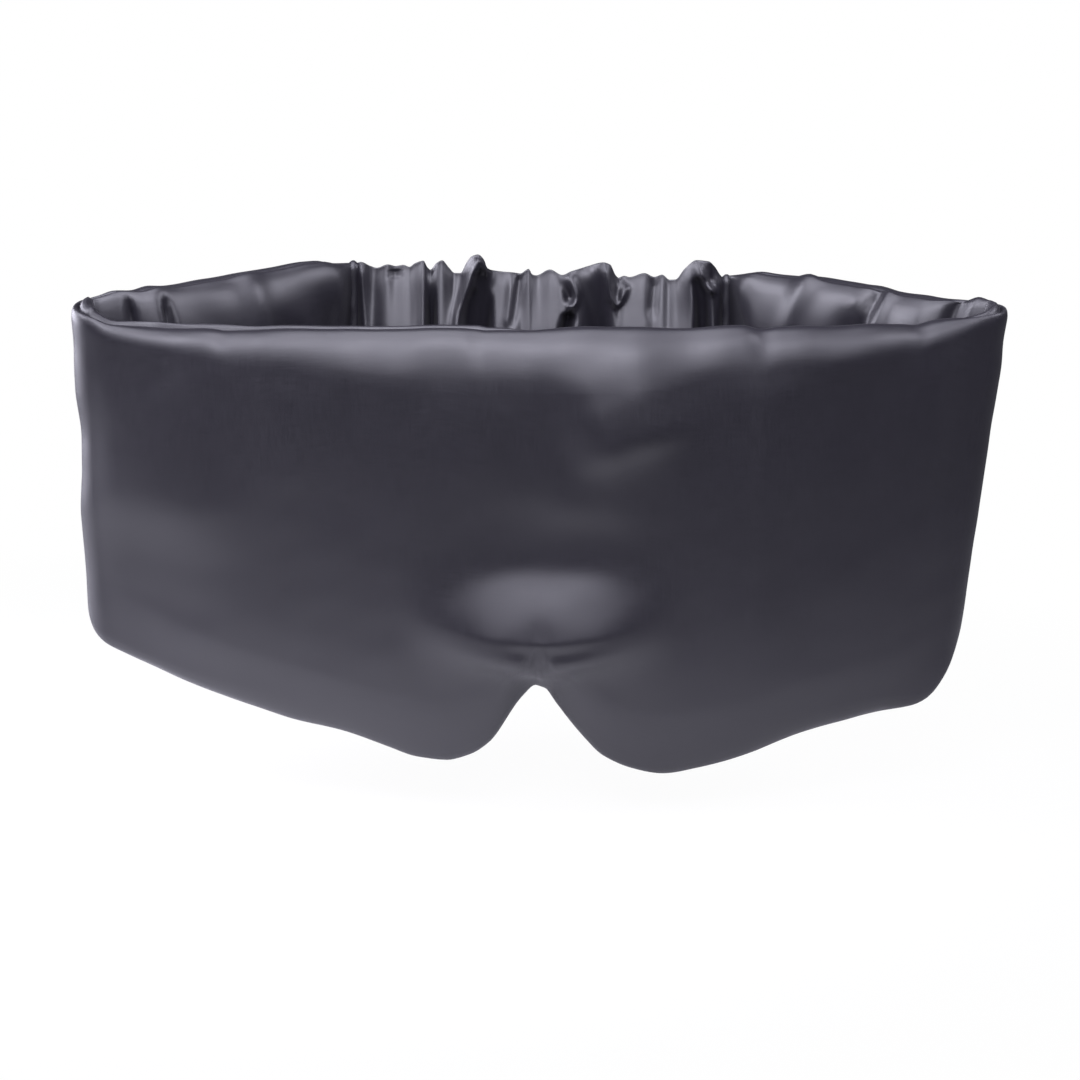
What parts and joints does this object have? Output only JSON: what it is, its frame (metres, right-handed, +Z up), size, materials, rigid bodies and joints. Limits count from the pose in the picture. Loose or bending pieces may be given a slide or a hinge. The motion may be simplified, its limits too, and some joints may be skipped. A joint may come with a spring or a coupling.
{
  "type": "sleep eye mask",
  "caption": "Padded satin sleep mask: a wide front with a nose notch, side wings that fold back at the temples, and a gathered elastic band that closes the loop round the head.",
  "frame": {"origin": "middle of the front's inner face, where the wearer's face rests", "axes": "+X across the front to the right as seen from outside, +Y from the face to the back of the head, +Z up as worn"},
  "size_m": [0.2402, 0.0861, 0.1164],
  "materials": {
    "satin": "dark slate-grey satin with a soft sheen",
    "lining": "the same satin, on the side of the face",
    "wadding": "loose white fibre wadding",
    "blackout": "dense black interlining",
    "elastic": "ribbed white woven elastic"
  },
  "bodies": {
    "front": {"front_cover": "satin", "front_wadding": "wadding", "front_blackout": "blackout", "front_lining": "lining", "left_fold_cover": "satin", "left_fold_wadding": "wadding", "right_fold_cover": "satin", "right_fold_wadding": "wadding"},
    "left_wing": {"left_wing_cover": "satin", "left_wing_wadding": "wadding", "left_wing_lining": "lining", "left_seam_welt": "satin"},
    "right_wing": {"right_wing_cover": "satin", "right_wing_wadding": "wadding", "right_wing_lining": "lining", "right_seam_welt": "satin"},
    "band_left": {"band_casing": "satin"},
    "band_right": {"band_elastic": "elastic"}
  },
  "joints": [
    {"name": "left_wing_swing", "type": "hinge", "parent": "front", "child": "left_wing", "pos_m": [-0.112, 0.011, 0], "axis": [0, 0, 1], "range_deg": [0, 38], "deforming": ["left_fold_cover", "left_fold_wadding"]},
    {"name": "right_wing_swing", "type": "hinge", "parent": "front", "child": "right_wing", "pos_m": [0.112, 0.011, 0], "axis": [0, 0, -1], "range_deg": [0, 38], "deforming": ["right_fold_cover", "right_fold_wadding"]},
    {"name": "band_turn", "type": "hinge", "parent": "left_wing", "child": "band_left", "pos_m": [-0.05, 0.05772, 0], "axis": [0, 0, -1], "range_deg": [0, 38]},
    {"name": "band_stretch", "type": "slide", "parent": "band_left", "child": "band_right", "axis": [1, 0, 0], "range_m": [0, 0.084], "stiffness_N_per_m": 35, "deforming": ["band_casing", "band_elastic"]}
  ],
  "couplings": [
    {"joint": "right_wing_swing", "follows": "left_wing_swing", "ratio": 1},
    {"joint": "band_turn", "follows": "left_wing_swing", "ratio": 1},
    {"joint": "band_stretch", "follows": "left_wing_swing", "m_per_rad": 0.12637}
  ]
}
